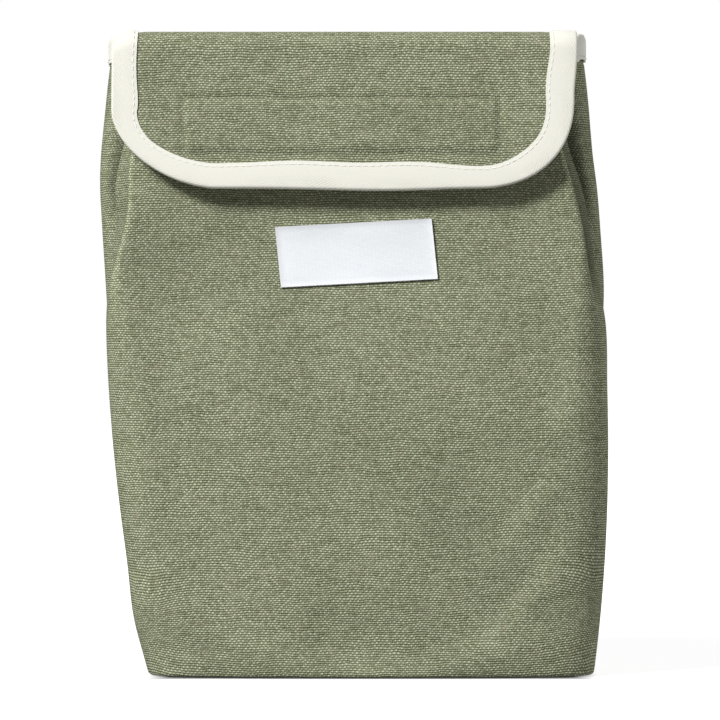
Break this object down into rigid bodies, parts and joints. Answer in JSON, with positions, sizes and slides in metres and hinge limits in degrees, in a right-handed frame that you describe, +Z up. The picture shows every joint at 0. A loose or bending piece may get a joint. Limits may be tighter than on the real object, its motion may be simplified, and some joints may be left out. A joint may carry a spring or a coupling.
{
  "type": "insulated lunch bag",
  "caption": "Soft insulated lunch bag of olive canvas: boxed body with foam and silver film inside, and a padded, tape-bound flap that folds over the mouth and closes on hook-and-loop.",
  "frame": {"origin": "middle of the base, on the surface that the bag stands on", "axes": "+Z up, the front with the label and the hanging flap faces -Y, +X to the viewer's right"},
  "size_m": [0.211, 0.1236, 0.27],
  "materials": {
    "canvas": "coarse plain weave, matt",
    "tape": "cream twill tape, matt",
    "foam": "closed-cell foam",
    "film": "aluminised film, soft sheen",
    "closure": "hook-and-loop tape",
    "label": "white satin, blank"
  },
  "bodies": {
    "bag": {"outer_front_panel": "canvas", "outer_back_panel": "canvas", "insulation_front": "foam", "insulation_back": "foam", "lining_front": "film", "lining_back": "film", "rim_binding": "tape", "loop_strip": "closure", "woven_label": "label"},
    "flap_top": {"flap_top_canvas": "canvas", "flap_top_insulation": "foam", "flap_top_lining": "film", "flap_top_binding_left": "tape", "flap_top_binding_right": "tape"},
    "flap_front": {"flap_front_canvas": "canvas", "flap_front_insulation": "foam", "flap_front_lining": "film", "flap_front_binding": "tape", "hook_strip": "closure"}
  },
  "joints": [
    {"name": "flap_swing", "type": "hinge", "parent": "bag", "child": "flap_top", "pos_m": [0, 0.0363, 0.2692], "axis": [-1, 0, 0], "range_deg": [0, 245]},
    {"name": "flap_lift", "type": "hinge", "parent": "flap_top", "child": "flap_front", "pos_m": [0, -0.04347, 0.2689], "axis": [-1, 0, 0], "range_deg": [0, 80]}
  ]
}
